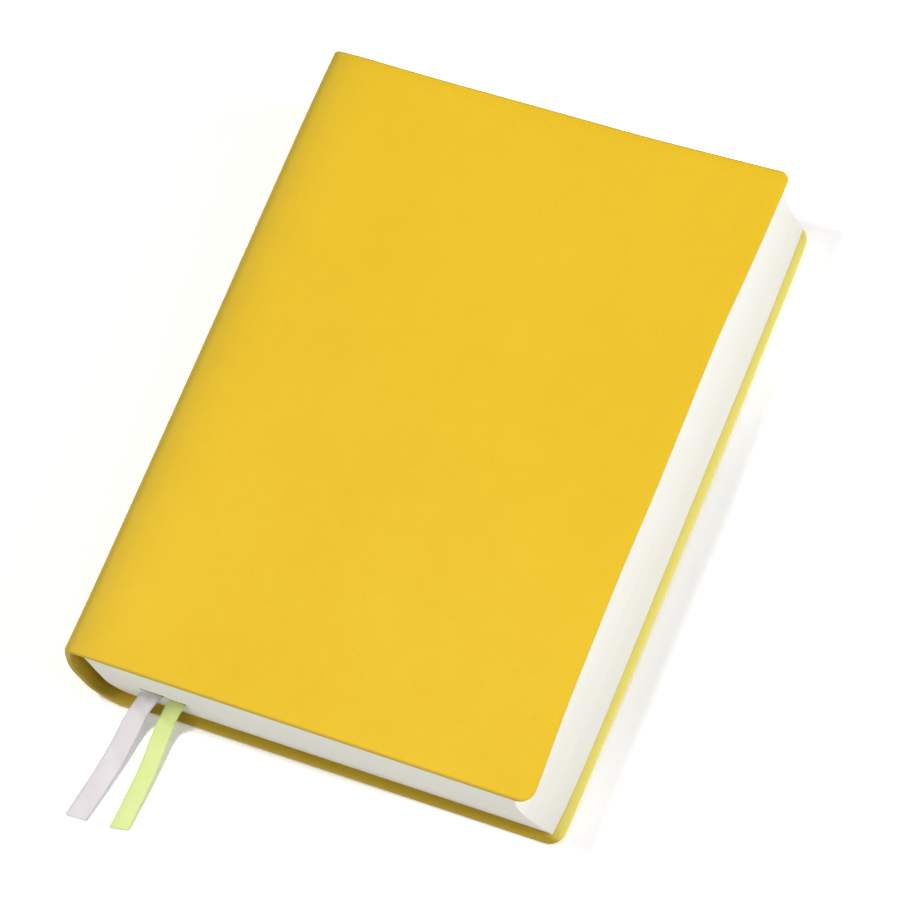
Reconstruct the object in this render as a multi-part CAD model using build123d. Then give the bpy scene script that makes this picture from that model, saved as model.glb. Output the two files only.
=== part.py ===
from build123d import *
import os
from math import radians, sin, sqrt, tan

# Leather notebook lying on its back cover, in millimetres. X runs from the spine to the fore edge,
# Y from the tail to the head, and Z up from the table. The case leans a little towards the spine.

# Leaves, which are one solid
page_width = 148.0  # from the bound edge of a leaf to its trimmed edge
page_height = 210.0
block_thickness = 34.4
back_corner = 4.0  # rounding along the upper long edge of the bound back
low_back_corner = 7.0  # the same along its lower edge
back_crown = 0.5  # how far the middle of the bound back stands out
tail_hollow = 6.8  # depth of the hollow in the fore edge, at the tail
head_hollow = 2.6  # the same at the head, where the leaves are knocked flatter
block_shift = 1.1  # the leaves sit this much nearer to the head of the case

# Covers: leather outside, card inside it, leather turned in over the rim, paper pasted on that
leather = 0.6
card = 0.8
turned_leather = 0.5  # the skin is pared thinner where it is turned in
turn_in = 14.0  # width of the turned in border
endpaper = 0.2
square = 2.5  # how far a cover stands out past the leaves, at head and tail
fore_square = 1.7  # the same at the fore edge
hinge_setback = 1.9  # how far a cover's spine edge stands out behind the leaves
lean = 2.1  # the front cover lies this much nearer to the spine side
edge_round = 0.9  # soft rounding along the rims
spine_side_corner = 1.4
front_tail_corner = 5.5
front_head_corner = 3.2
back_cover_corner = 5.8
front_draw = 0.9  # the front cover's fore edge is drawn in by this at its middle
back_draw = -0.5  # the back cover's is pushed out

# Spine of the case, hollow behind the leaves
spine_strip_thickness = 0.6
spine_bulge = 3.1  # how far it bows out behind the front cover's edge
bulge_height = 14.5  # where it is fullest, above the table
spine_foot = 5.0  # rounding where it turns under
spine_end_round = 0.7
hinge_gap = 0.3  # free space between a cover's rounded edge and the spine
lining = 0.4  # cloth, glue and brown paper on the back of the leaves
lining_inset = 1.0  # it stops this far short of head and tail

# Ribbon markers
lilac_width = 7.0
green_width = 6.0
ribbon_thickness = 0.3
ribbon_grip = 7.0  # straight stretch inside the leaves before the tail
ribbon_top = 3.0  # the ribbon's glued end stops this far below the head

# Worked out from the sizes above
cover_thickness = leather + card + turned_leather
nose = cover_thickness / 2
cover_height = page_height + 2 * square
half_height = cover_height / 2
cover_depth = hinge_setback + back_corner + page_width + fore_square
reach = cover_depth - nose
block_bottom = cover_thickness + endpaper
block_top = block_bottom + block_thickness
book_thickness = block_top + endpaper + cover_thickness
block_lean = lean * block_thickness / (book_thickness - cover_thickness)
lip = back_corner + page_width
back_axis_x = nose - hinge_setback
front_axis_x = back_axis_x - lean
spine_left = front_axis_x - nose - spine_bulge
book_right = back_axis_x + reach - min(back_draw, 0)
middle_x = (spine_left + book_right) / 2

# Each ribbon's free stretch, from where it leaves the tail down to the table
lilac_route = [
    (-56.3, -103.9, 12.4),
    (-57.8, -106.3, 11.0),
    (-59.2, -107.5, 8.5),
    (-61.1, -109.4, 5.0),
    (-62.3, -112.6, 3.2),
    (-63.0, -118.0, 2.2),
    (-63.8, -124.9, 1.5),
    (-65.7, -135.1, 0.8),
    (-68.1, -146.4, 0.4),
]
green_route = [
    (-47.9, -103.9, 11.4),
    (-48.9, -106.2, 10.0),
    (-50.0, -107.5, 7.8),
    (-51.3, -109.4, 4.6),
    (-52.0, -112.5, 3.0),
    (-52.1, -117.7, 2.1),
    (-52.0, -124.4, 1.4),
    (-52.5, -134.5, 0.8),
    (-53.4, -145.4, 0.4),
]
lilac_head_x = -67.0
green_head_x = -60.0


# A cover's outline seen from above, with its hinge axis at x = 0
def cover_plan(inset, tail_corner, head_corner, draw):
    near = inset if inset > 0 else -nose
    far = reach - inset
    side = half_height - inset
    outline = [
        Line((near, -side), (far, -side)),
        ThreePointArc((far, -side), (far - draw, 0), (far, side)),
        Line((far, side), (near, side)),
        Line((near, side), (near, -side)),
    ]
    plan = make_face(outline)
    by_x = plan.vertices().sort_by(Axis.X)
    tail_fore, head_fore = by_x[-2:].sort_by(Axis.Y)
    plan = fillet(tail_fore, tail_corner - inset)
    plan = fillet(plan.vertices().sort_by_distance(Vector(head_fore)).first, head_corner - inset)
    if inset == 0:
        plan = fillet(plan.vertices().sort_by(Axis.X)[:2], spine_side_corner)
    return plan


# The card, thick in the middle and pressed thinner under the turned in leather
def cover_card(tail_corner, head_corner, draw):
    rim = extrude(Pos(0, 0, leather) * cover_plan(leather, tail_corner, head_corner, draw), card)
    window_x = reach - turn_in - leather
    window = Pos((leather + window_x) / 2, 0, leather) * Box(
        window_x - leather,
        cover_height - 2 * turn_in,
        card + turned_leather,
        align=(Align.CENTER, Align.CENTER, Align.MIN),
    )
    return rim + window


# The leather, wrapped round the card with a rounded rim
def cover_leather(board, tail_corner, head_corner, draw):
    plate = extrude(cover_plan(0, tail_corner, head_corner, draw), cover_thickness)
    rims = plate.edges().filter_by(Plane.XY)
    return fillet(rims, edge_round) - board


# The half of the endpaper that is pasted down inside the cover
def pasted_endpaper():
    start = back_corner
    end = lip - back_axis_x
    return Pos((start + end) / 2, block_shift, cover_thickness) * Box(
        end - start, page_height, endpaper, align=(Align.CENTER, Align.CENTER, Align.MIN)
    )


# Section of the leaves across the book, with the hollow fore edge
def block_section(hollow, y):
    middle_z = (block_bottom + block_top) / 2
    half_lean = block_lean / 2
    outline = [
        Line((0, block_bottom), (lip, block_bottom)),
        ThreePointArc(
            (lip, block_bottom), (lip - half_lean - hollow, middle_z), (lip - block_lean, block_top)
        ),
        Line((lip - block_lean, block_top), (-block_lean, block_top)),
        ThreePointArc(
            (-block_lean, block_top), (-half_lean - back_crown, middle_z), (0, block_bottom)
        ),
    ]
    section = make_face(outline)
    low_edge = section.vertices().sort_by_distance((0, block_bottom)).first
    section = fillet(low_edge, low_back_corner)
    high_edge = section.vertices().sort_by_distance((-block_lean, block_top)).first
    section = fillet(high_edge, back_corner)
    return Plane(origin=(0, y, 0), x_dir=(1, 0, 0), z_dir=(0, -1, 0)) * section


# The leaves, lofted from the tail to the head, less the slits that the ribbons lie in
def page_block(ribbons):
    tail = block_section(tail_hollow, block_shift - page_height / 2)
    head = block_section(head_hollow, block_shift + page_height / 2)
    block = Pos(-middle_x, 0, 0) * loft([tail, head], ruled=True)
    for ribbon in ribbons:
        block -= ribbon
    return block


# Upright strip across the book, with the given flat section
def along_spine(section, y_from, y_to):
    plane = Plane(origin=(0, y_to, 0), x_dir=(1, 0, 0), z_dir=(0, -1, 0))
    return extrude(plane * section, y_to - y_from)


# Cloth glued on the bound back, between its two rounded edges
def spine_lining():
    rise = block_thickness / 2
    chord = sqrt(rise**2 + (block_lean / 2) ** 2)
    radius = (chord**2 + back_crown**2) / (2 * back_crown)
    middle = Vector(-block_lean / 2, (block_bottom + block_top) / 2)
    inward = Vector(rise, block_lean / 2).normalized()
    centre = middle + inward * (radius - back_crown)
    ring = Pos(centre.X, centre.Y) * (Circle(radius + lining) - Circle(radius))
    height = block_thickness - back_corner - low_back_corner
    lift = (low_back_corner - back_corner) / 2
    window = Pos(middle.X, middle.Y + lift) * Rectangle(4 * back_corner, height)
    length = page_height - 2 * lining_inset
    return along_spine(ring & window, block_shift - length / 2, block_shift + length / 2)


# Area inside the spine's outline, taken a depth in from its outer face
def spine_area(depth):
    top = book_thickness - cover_thickness - hinge_gap
    foot = cover_thickness + hinge_gap + depth
    rise = top - bulge_height
    radius = (spine_bulge**2 + rise**2) / (2 * spine_bulge)
    centre_x = spine_left + radius
    arm = radius - depth
    top_x = centre_x - sqrt(arm**2 - rise**2)
    foot_x = centre_x - sqrt(arm**2 - (bulge_height - foot) ** 2)
    end_x = back_axis_x
    outline = [
        ThreePointArc((top_x, top), (spine_left + depth, bulge_height), (foot_x, foot)),
        Line((foot_x, foot), (end_x, foot)),
        Line((end_x, foot), (end_x, top)),
        Line((end_x, top), (top_x, top)),
    ]
    area = make_face(outline)
    heel = area.vertices().sort_by_distance((foot_x, foot)).first
    return fillet(heel, spine_foot - depth)


# Wall of the spine between two depths
def spine_band(outer, inner):
    return spine_area(outer) - spine_area(inner)


# Leather over the spine, turned in round the ends of its strip
def spine_leather():
    wall = leather + spine_strip_thickness + turned_leather
    skin = along_spine(spine_band(0, leather), -half_height, half_height)
    for side in (-1, 1):
        cap_y = sorted((side * half_height, side * (half_height - leather)))
        turn_y = sorted((side * half_height, side * (half_height - turn_in)))
        skin += along_spine(spine_band(0, wall), *cap_y)
        skin += along_spine(spine_band(wall - turned_leather, wall), *turn_y)
    ends = skin.edges().filter_by_position(Axis.Y, half_height, half_height)
    ends += skin.edges().filter_by_position(Axis.Y, -half_height, -half_height)
    bowed = [edge for edge in ends if edge.length > 2 * spine_foot or edge.geom_type == GeomType.CIRCLE]
    return fillet(bowed, spine_end_round)


# Thin card that stiffens the spine
def spine_strip():
    band = spine_band(leather, leather + spine_strip_thickness)
    return along_spine(band, leather - half_height, half_height - leather)


# One ribbon: a flat curve between the leaves, then the free stretch down to the table
def marker_ribbon(name, route, head_x, width):
    leave = Vector(*route[0])
    rest = Vector(*route[-1])
    outward = Vector(rest.X - leave.X, rest.Y - leave.Y, 0).normalized()
    held = leave - outward * ribbon_grip
    points = [held] + [Vector(*point) for point in route]
    radii = []
    for before, corner, after in zip(points, points[1:], points[2:]):
        turn = (corner - before).get_angle(after - corner)
        shorter = min((corner - before).length, (after - corner).length)
        radii.append(0.45 * shorter / tan(radians(turn) / 2))
    print(name, "arc radii", [round(radius, 1) for radius in radii])
    path = FilletPolyline(*points, radius=radii)
    across = Vector(-outward.Y, outward.X, 0)
    section = Plane(origin=held, x_dir=across, z_dir=outward) * Rectangle(width, ribbon_thickness)
    free = sweep(section, path=path)
    inward = outward * -1
    glued = Vector(head_x, block_shift + page_height / 2 - ribbon_top, leave.Z)
    chord = glued - held
    half_turn = inward.get_angle(chord)
    radius = chord.length / (2 * sin(radians(half_turn)))
    left = Vector(-inward.Y, inward.X, 0)
    pivot = Axis(held + left * radius, (0, 0, 1))
    hidden = revolve(section, axis=pivot, revolution_arc=2 * half_turn)
    ribbon = free + hidden
    length = path.length + radians(2 * half_turn) * radius
    print(name, "free and straight", round(path.length, 1), "in all", round(length, 1))
    share = ribbon.volume / (length * width * ribbon_thickness)
    print(name, "volume against section by length", round(share, 4))
    return ribbon


os.makedirs("parts", exist_ok=True)
ribbon_lilac = marker_ribbon("lilac ribbon", lilac_route, lilac_head_x, lilac_width)
ribbon_green = marker_ribbon("green ribbon", green_route, green_head_x, green_width)
back_place = Pos(back_axis_x - middle_x, 0, 0)
front_place = Pos(front_axis_x - middle_x, 0, book_thickness)
back_card = cover_card(back_cover_corner, back_cover_corner, back_draw)
front_card = cover_card(front_tail_corner, front_head_corner, front_draw)
back_skin = cover_leather(back_card, back_cover_corner, back_cover_corner, back_draw)
front_skin = cover_leather(front_card, front_tail_corner, front_head_corner, front_draw)
spine_place = Pos(-middle_x, 0, 0)
nodes = {
    "page_block": page_block([ribbon_lilac, ribbon_green]),
    "spine_lining": spine_place * spine_lining(),
    "spine_leather": spine_place * spine_leather(),
    "spine_strip": spine_place * spine_strip(),
    "back_leather": back_place * back_skin,
    "back_card": back_place * back_card,
    "back_endpaper": back_place * pasted_endpaper(),
    "front_leather": front_place * mirror(front_skin, about=Plane.XY),
    "front_card": front_place * mirror(front_card, about=Plane.XY),
    "front_endpaper": front_place * mirror(pasted_endpaper(), about=Plane.XY),
    "ribbon_lilac": ribbon_lilac,
    "ribbon_green": ribbon_green,
}
for name, shape in nodes.items():
    export_step(shape, f"parts/{name}.step")
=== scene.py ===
import bpy
import bmesh
from math import asin, cos, exp, pi, radians, sin, sqrt
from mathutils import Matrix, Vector


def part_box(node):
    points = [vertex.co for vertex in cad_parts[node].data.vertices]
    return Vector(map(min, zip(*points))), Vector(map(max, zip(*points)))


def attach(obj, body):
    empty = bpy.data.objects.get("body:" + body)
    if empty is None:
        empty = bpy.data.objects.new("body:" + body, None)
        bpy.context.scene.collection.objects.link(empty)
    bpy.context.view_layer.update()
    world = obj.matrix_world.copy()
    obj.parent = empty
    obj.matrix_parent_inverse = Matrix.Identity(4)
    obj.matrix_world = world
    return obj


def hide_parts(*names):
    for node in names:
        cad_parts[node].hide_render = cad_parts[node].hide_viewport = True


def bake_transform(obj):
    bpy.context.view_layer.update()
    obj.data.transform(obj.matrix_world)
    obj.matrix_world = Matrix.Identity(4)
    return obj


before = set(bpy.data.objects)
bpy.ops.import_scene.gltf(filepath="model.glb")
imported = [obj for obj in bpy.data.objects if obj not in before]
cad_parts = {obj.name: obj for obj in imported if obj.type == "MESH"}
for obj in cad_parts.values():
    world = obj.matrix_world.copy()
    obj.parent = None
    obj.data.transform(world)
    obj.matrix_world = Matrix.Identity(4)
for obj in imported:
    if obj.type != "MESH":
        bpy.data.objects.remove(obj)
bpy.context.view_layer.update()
scene = bpy.context.scene
scene.view_settings.view_transform = "Standard"

# The closed book as the frame gives it, in metres: X from spine to fore edge, Y from tail to head
frontLow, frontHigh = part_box("front_leather")
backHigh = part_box("back_leather")[1]
spineLow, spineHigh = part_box("spine_leather")
leavesLow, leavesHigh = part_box("page_block")
coverThickness = frontHigh.z - frontLow.z
bookTop = frontHigh.z
halfHeight = frontHigh.y
near = 1e-6  # places closer than this count as the same
millimetres = 1000  # in a metre
print("the notebook's frame is loaded")

# Camera where the photograph was taken from, with its angles in degrees
photoCamera = {
    "place": (0.44126, -0.39091, 1.19412),
    "turn": (23.588, 12.251, 22.465),
    "lens": 169.96,
    "sensor": 36.0,
    "clip": (0.05, 20),
}


def addCamera(settings):
    data = bpy.data.cameras.new("photoCamera")
    data.lens = settings["lens"]
    data.sensor_width = settings["sensor"]
    data.clip_start, data.clip_end = settings["clip"]
    camera = bpy.data.objects.new("photoCamera", data)
    camera.location = settings["place"]
    camera.rotation_euler = [radians(angle) for angle in settings["turn"]]
    scene.collection.objects.link(camera)
    scene.camera = camera


addCamera(photoCamera)
print("the camera stands at the photograph's viewpoint")


def selectOnly(piece):
    bpy.ops.object.select_all(action="DESELECT")
    bpy.context.view_layer.objects.active = piece
    piece.select_set(True)


def startEditing(piece, mode):
    selectOnly(piece)
    bpy.ops.object.mode_set(mode="EDIT")
    bpy.ops.mesh.select_mode(type=mode)
    bpy.ops.mesh.select_all(action="DESELECT")


def stopEditing():
    bpy.ops.object.mode_set(mode="OBJECT")


def middleOf(part):
    if hasattr(part, "calc_center_median"):
        return part.calc_center_median()
    return (part.verts[0].co + part.verts[1].co) / 2


# Selects the faces or edges of the mesh being edited whose middle, or they themselves, pass a test
def pick(kind, test):
    bpy.ops.mesh.select_all(action="DESELECT")
    mesh = bmesh.from_edit_mesh(bpy.context.edit_object.data)
    for part in getattr(mesh, kind):
        if test(middleOf(part), part):
            part.select_set(True)
    mesh.select_flush_mode()
    bmesh.update_edit_mesh(bpy.context.edit_object.data)


def useModifier(piece, kind, **settings):
    modifier = piece.modifiers.new(kind.title(), kind)
    for name, value in settings.items():
        setattr(modifier, name, value)
    selectOnly(piece)
    bpy.ops.object.modifier_apply(modifier=modifier.name)


def smoothShading(piece, angle=40):
    selectOnly(piece)
    bpy.ops.object.shade_smooth_by_angle(angle=radians(angle))


def addSlab(name, low, high):
    low, high = Vector(low), Vector(high)
    bpy.ops.mesh.primitive_cube_add(size=1, location=(low + high) / 2, scale=high - low)
    piece = bpy.context.object
    piece.name = name
    bpy.ops.object.transform_apply(location=True, rotation=True, scale=True)
    return piece


# Rounds the upright corner of a slab
def roundUpright(piece, x, y, radius, steps):
    startEditing(piece, "EDGE")
    pick("edges", lambda middle, edge: abs(middle.x - x) < near and abs(middle.y - y) < near)
    bpy.ops.mesh.bevel(offset=radius, segments=steps, affect="EDGES")
    stopEditing()


# Cuts a whole piece across at each of some places along one axis, so that it can bend softly
def cutAcross(piece, axis, places):
    startEditing(piece, "FACE")
    for place in places:
        spot, normal = Vector((0, 0, 0)), Vector((0, 0, 0))
        spot[axis], normal[axis] = place, 1
        bpy.ops.mesh.select_all(action="SELECT")
        bpy.ops.mesh.bisect(plane_co=spot, plane_no=normal)
    stopEditing()


# Places between two ends, about a stride apart
def evenly(first, last, stride):
    count = max(2, round(abs(last - first) / stride))
    return [first + (last - first) * i / count for i in range(1, count)]


# Height of a smooth line through some points
def through(line, at):
    if at <= line[0][0]:
        return line[0][1]
    if at >= line[-1][0]:
        return line[-1][1]
    for i in range(len(line) - 1):
        (a, low), (b, high) = line[i], line[i + 1]
        if at <= b:
            before, after = line[max(i - 1, 0)], line[min(i + 2, len(line) - 1)]
            leave = (high - before[1]) / (b - before[0]) * (b - a)
            arrive = (after[1] - low) / (after[0] - a) * (b - a)
            t = (at - a) / (b - a)
            return (low * (2 * t**3 - 3 * t**2 + 1) + leave * (t**3 - 2 * t**2 + t)
                    + high * (3 * t**2 - 2 * t**3) + arrive * (t**3 - t**2))


# Rises softly from 0 to 1 between a start and an end
def eased(value, start, end):
    t = min(1.0, max(0.0, (value - start) / (end - start)))
    return t * t * (3 - 2 * t)


# Where each fore edge runs, from the tail to the head: place along the book, then across it
frontForeLine = [(-0.1075, 0.0780), (-0.098, 0.0779), (-0.088, 0.0775), (-0.075, 0.0771), (-0.050, 0.0769),
                 (-0.030, 0.0769), (-0.005, 0.0773), (0.020, 0.0773), (0.042, 0.0773), (0.055, 0.0775),
                 (0.065, 0.0780), (0.084, 0.0787), (0.0975, 0.0790), (0.1075, 0.0793)]
backForeLine = [(-0.1075, 0.0801), (-0.098, 0.0803), (-0.075, 0.0805), (-0.050, 0.0808), (-0.020, 0.0809),
                (0.030, 0.0811), (0.070, 0.0811), (0.092, 0.0811), (0.1075, 0.0807)]
leafForeLine = [(-0.1045, 0.0767), (-0.098, 0.0773), (-0.088, 0.0778), (-0.070, 0.0782), (-0.040, 0.0784),
                (0.000, 0.0785), (0.040, 0.0787), (0.080, 0.0789), (0.106, 0.0786)]
# How far the leaves stand back at the tail, from the spine to the fore edge
leafTailLine = [(-0.074, -0.0003), (-0.060, -0.0005), (0.000, -0.0005), (0.066, -0.0005), (0.078, -0.0006)]


# Draws a piece's fore edge in or out to its line, less and less towards the spine
def followForeLine(piece, hingeX, farX, line, inset=0.0):
    for corner in piece.data.vertices:
        share = max(0.0, (corner.co.x - hingeX) / (farX - hingeX))
        corner.co.x += (through(line, corner.co.y) - inset - farX) * share**2


# The case's outline at the spine: a wide bow, a tight corner above it and a soft foot below it
spineShape = {
    "bowFullest": 0.0165,
    "topCorner": 0.0026,
    "foot": 0.0090,
    "split": 0.0200,  # height at which the two covers' leathers meet
}


def spineOutline(shape):
    bow = frontLow.x - spineLow.x
    rise = spineHigh.z - shape["bowFullest"]
    radius = (bow**2 + rise**2) / (2 * bow)
    centre = Vector((spineLow.x + radius, 0, shape["bowFullest"]))
    topZ = bookTop - shape["topCorner"]
    topArm = radius - shape["topCorner"]
    topX = centre.x - sqrt(topArm**2 - (topZ - centre.z) ** 2)
    footArm = radius - shape["foot"]
    footX = centre.x - sqrt(footArm**2 - (centre.z - shape["foot"]) ** 2)
    return {
        "centre": centre,
        "radius": radius,
        "top": Vector((topX, 0, topZ)),
        "foot": Vector((footX, 0, shape["foot"])),
        "topTurn": asin((topZ - centre.z) / topArm),
        "footTurn": asin((centre.z - shape["foot"]) / footArm),
        "splitTurn": asin((shape["split"] - centre.z) / radius),
    }


outline = spineOutline(spineShape)

# Leather over one cover and half of the spine, turned in round the rim
coverShape = {
    "rim": 0.0009,
    "rimSteps": 5,
    "cornerSteps": 12,
    "turnIn": 0.014,
    "skin": 0.0005,
    "cut": 0.006,
    "unevenness": 0.00004,
    "unevenSkin": 0.0007,  # how deep below the top it is uneven
    "calmBorder": 0.012,
}

# Where each leather bends when its cover opens, with close rows of corners there
frontHinge = {
    "start": (-0.0777, 0, 0.0360),
    "end": (-0.0743, 0, 0.0378),
    "rows": (-0.0745, -0.0740, -0.0736, -0.0728),
    "cornerSteps": 10,
    "bowSteps": 24,
}
backHinge = {
    "start": (-0.0772, 0, 0.0045),
    "end": (-0.0707, 0, 0.0003),
    "rows": (-0.0705, -0.0698),
    "footSteps": 16,
    "bowSteps": 20,
}

# How far each cover's corners are rounded
frontCorners = {"tail": 0.0048, "head": 0.0032}
backCorners = {"tail": 0.0050, "head": 0.0058}


def coverLeather(name, nearX, farX, outerZ, innerZ, corners):
    piece = addSlab(name, (nearX, -halfHeight, min(outerZ, innerZ)), (farX, halfHeight, max(outerZ, innerZ)))
    roundUpright(piece, farX, -halfHeight, corners["tail"], coverShape["cornerSteps"])
    roundUpright(piece, farX, halfHeight, corners["head"], coverShape["cornerSteps"])
    startEditing(piece, "FACE")
    pick("faces", lambda middle, face: abs(middle.x - nearX) < near)
    bpy.ops.mesh.delete(type="FACE")
    bpy.ops.mesh.select_mode(type="EDGE")
    pick("edges", lambda middle, edge: abs(edge.verts[0].co.z - edge.verts[1].co.z) < near
         and abs(middle.x - nearX) > near)
    bpy.ops.mesh.bevel(offset=coverShape["rim"], segments=coverShape["rimSteps"], affect="EDGES")
    # Open the inner face inside the turned in border
    bpy.ops.mesh.select_mode(type="FACE")
    for point, normal in (
        ((farX - coverShape["turnIn"], 0, 0), (1, 0, 0)),
        ((0, halfHeight - coverShape["turnIn"], 0), (0, 1, 0)),
        ((0, coverShape["turnIn"] - halfHeight, 0), (0, 1, 0)),
    ):
        pick("faces", lambda middle, face: abs(middle.z - innerZ) < near)
        bpy.ops.mesh.bisect(plane_co=point, plane_no=normal)
    pick("faces", lambda middle, face: abs(middle.z - innerZ) < near
         and middle.x < farX - coverShape["turnIn"]
         and abs(middle.y) < halfHeight - coverShape["turnIn"])
    bpy.ops.mesh.delete(type="FACE")
    stopEditing()
    return piece


# Tells whether an edge lies at a turn of the bow, counted up from its fullest height
def atTurn(edge, turn):
    centre = outline["centre"]
    for corner in edge.verts:
        rise, reach = corner.co.z - centre.z, centre.x - corner.co.x
        if abs(rise * cos(turn) - reach * sin(turn)) > near:
            return False
    return True


# Carries the open spine side of the leather on round an arc
def carryRound(piece, centre, turn, steps, test):
    startEditing(piece, "EDGE")
    pick("edges", lambda middle, edge: edge.is_boundary and test(edge))
    bpy.ops.mesh.spin(steps=steps, angle=turn, center=centre, axis=(0, 1, 0))
    stopEditing()


def finishSkin(piece, hingeX, farX, line):
    startEditing(piece, "VERT")
    bpy.ops.mesh.select_all(action="SELECT")
    bpy.ops.mesh.remove_doubles(threshold=near)
    bpy.ops.mesh.normals_make_consistent(inside=False)
    stopEditing()
    cutAcross(piece, 1, evenly(-halfHeight, halfHeight, coverShape["cut"]))
    cutAcross(piece, 0, evenly(hingeX, farX, coverShape["cut"]))
    useModifier(piece, "SOLIDIFY", thickness=coverShape["skin"], offset=-1, use_even_offset=True)
    followForeLine(piece, hingeX, farX, line)


# The front cover's own small shifts at its tail and head edges, and its skin, which is not quite flat
frontTailShift = [(-0.078, 0.0009), (-0.040, 0.0008), (0.020, 0.0007), (0.079, 0.0005)]
frontHeadShift = [(-0.078, 0.0006), (-0.068, 0.0007), (-0.054, 0.0004), (-0.036, 0.0001), (-0.018, 0.0),
                  (0.015, -0.0003), (0.033, -0.0004), (0.055, -0.0001), (0.079, 0.0003)]
frontShiftFull = 0.034  # height from which the shifts count in full

# How far the upper part of the spine stands out further than its plain bow, by height along the book
spineSwell = [(-0.1075, 0.0011), (-0.090, 0.0008), (-0.060, 0.0006), (0.000, 0.0004), (0.060, 0.0005),
              (0.090, 0.0004), (0.1075, 0.0001)]
swellFades = {"up": (0.010, 0.032), "out": (0.062, 0.0762)}


def swellSpine(piece):
    for corner in piece.data.vertices:
        x, y, z = corner.co
        corner.co.x -= through(spineSwell, y) * eased(z, *swellFades["up"]) * eased(-x, *swellFades["out"])


def frontShift(x, y):
    share = (y + halfHeight) / (2 * halfHeight)
    return through(frontTailShift, x) * (1 - share) + through(frontHeadShift, x) * share


def relaxFrontSkin(piece):
    for corner in piece.data.vertices:
        x, y, z = corner.co
        corner.co.y += frontShift(x, y) * eased(z, spineShape["split"], frontShiftFull)
        if z > bookTop - coverShape["unevenSkin"]:
            # Three slow waves that cross
            wave = sin(31 * x + 9 * y + 0.7) + 0.7 * sin(23 * y - 17 * x + 2.1) + 0.4 * sin(67 * x + 41 * y)
            calm = min(1.0, (halfHeight - abs(y)) / coverShape["calmBorder"])
            corner.co.z += coverShape["unevenness"] * wave * calm


# At the tail the fold of leather under the spine stands out a little
tailFold = {
    "middle": -0.068,
    "width": 0.0065,
    "bulge": 0.0011,
    "along": (0.080, 0.107),
    "up": (0.0025, 0.006),
}


def relaxBackSkin(piece):
    for corner in piece.data.vertices:
        x, y, z = corner.co
        if y < 0 and z < tailFold["up"][1]:
            bulge = exp(-((x - tailFold["middle"]) / tailFold["width"]) ** 2) * eased(-y, *tailFold["along"])
            corner.co.y -= tailFold["bulge"] * bulge * (1 - eased(z, *tailFold["up"]))


# The back cover's inner side slopes away towards its rim
rimSlope = {
    "reach": 0.0026,
    "middle": 0.0009,
    "slack": 0.0003,
    "share": 0.75,
    "curve": 1.5,
    "cuts": (0.0018, 0.0027),
    "fromSpine": (-0.070, -0.060),
}


def slopeRim(piece, line, corners):
    for corner in piece.data.vertices:
        x, y, z = corner.co
        across, along = through(line, y) - x, halfHeight - abs(y)
        turn = corners["tail"] if y < 0 else corners["head"]
        reach = min(across, along)
        if across < turn and along < turn:
            reach = turn - sqrt((turn - across) ** 2 + (turn - along) ** 2)
        if reach < rimSlope["reach"] and rimSlope["middle"] < z < coverThickness + rimSlope["slack"]:
            fall = (1 - max(reach, 0) / rimSlope["reach"]) ** rimSlope["curve"]
            fall *= eased(x, *rimSlope["fromSpine"])
            corner.co.z -= (z - rimSlope["middle"]) * rimSlope["share"] * fall


# Painted shade on the leather along the front cover's rims, near its spine edge and in a band at the tail of
# each cover, and a painted highlight along the back cover's fore edge
rimShadeAndHighlight = {
    "rim": 0.0009,
    "foreShare": 0.25,  # share of the painted rim shade beside the front cover's fore edge
    "rimUp": (0.022, 0.034),
    "spineUp": (0.0205, 0.0375),
    "band": (0.0020, 0.0038),  # band of painted shade at the tail
    "bandUp": (0.030, 0.036),
    "paleHighlight": (0.0027, 0.0045),
    "paleUp": (0.0002, 0.0006),
    "paleFromTail": (0.0009, 0.0040),
}

# Painted shade on the front cover near its spine edge: how dark, by place across the book
spineShade = [(-0.0756, 0.92), (-0.0750, 0.78), (-0.0744, 0.62), (-0.0737, 0.52), (-0.0724, 0.42),
             (-0.0698, 0.24), (-0.0643, 0.08), (-0.0583, 0.0)]


def paintRimShadeAndHighlight(piece, line, isBack):
    dark = piece.data.attributes.new("burnish", "FLOAT", "POINT")
    paleHighlight = piece.data.attributes.new("worn", "FLOAT", "POINT")
    for corner in piece.data.vertices:
        x, y, z = corner.co
        across, along = through(line, y) - x, halfHeight - abs(y)
        tailShadeBand = 1 - eased(along, *rimShadeAndHighlight["band"]) if y < 0 else 0.0
        if isBack:
            # Painted highlight along the back cover's fore edge, and painted shade in its tail band
            beside = (1 - eased(across, *rimShadeAndHighlight["paleHighlight"])) * eased(z, *rimShadeAndHighlight["paleUp"])
            beside *= eased(along, *rimShadeAndHighlight["paleFromTail"]) if y < 0 else 1.0
            paleHighlight.data[corner.index].value = beside
            dark.data[corner.index].value = tailShadeBand * (1 - beside)
        else:
            # Painted shade on the rims, near the spine edge and in the tail band
            rimShadeShare = max(1 - along / rimShadeAndHighlight["rim"], (1 - across / rimShadeAndHighlight["rim"]) * rimShadeAndHighlight["foreShare"])
            rimShadeShare = min(1.0, max(0.0, rimShadeShare)) * eased(z, *rimShadeAndHighlight["rimUp"])
            spineShadeShare = through(spineShade, x) * eased(z, *rimShadeAndHighlight["spineUp"])
            tailShadeBand *= 1 - eased(z, *rimShadeAndHighlight["bandUp"])
            dark.data[corner.index].value = max(rimShadeShare, spineShadeShare, tailShadeBand)


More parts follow.
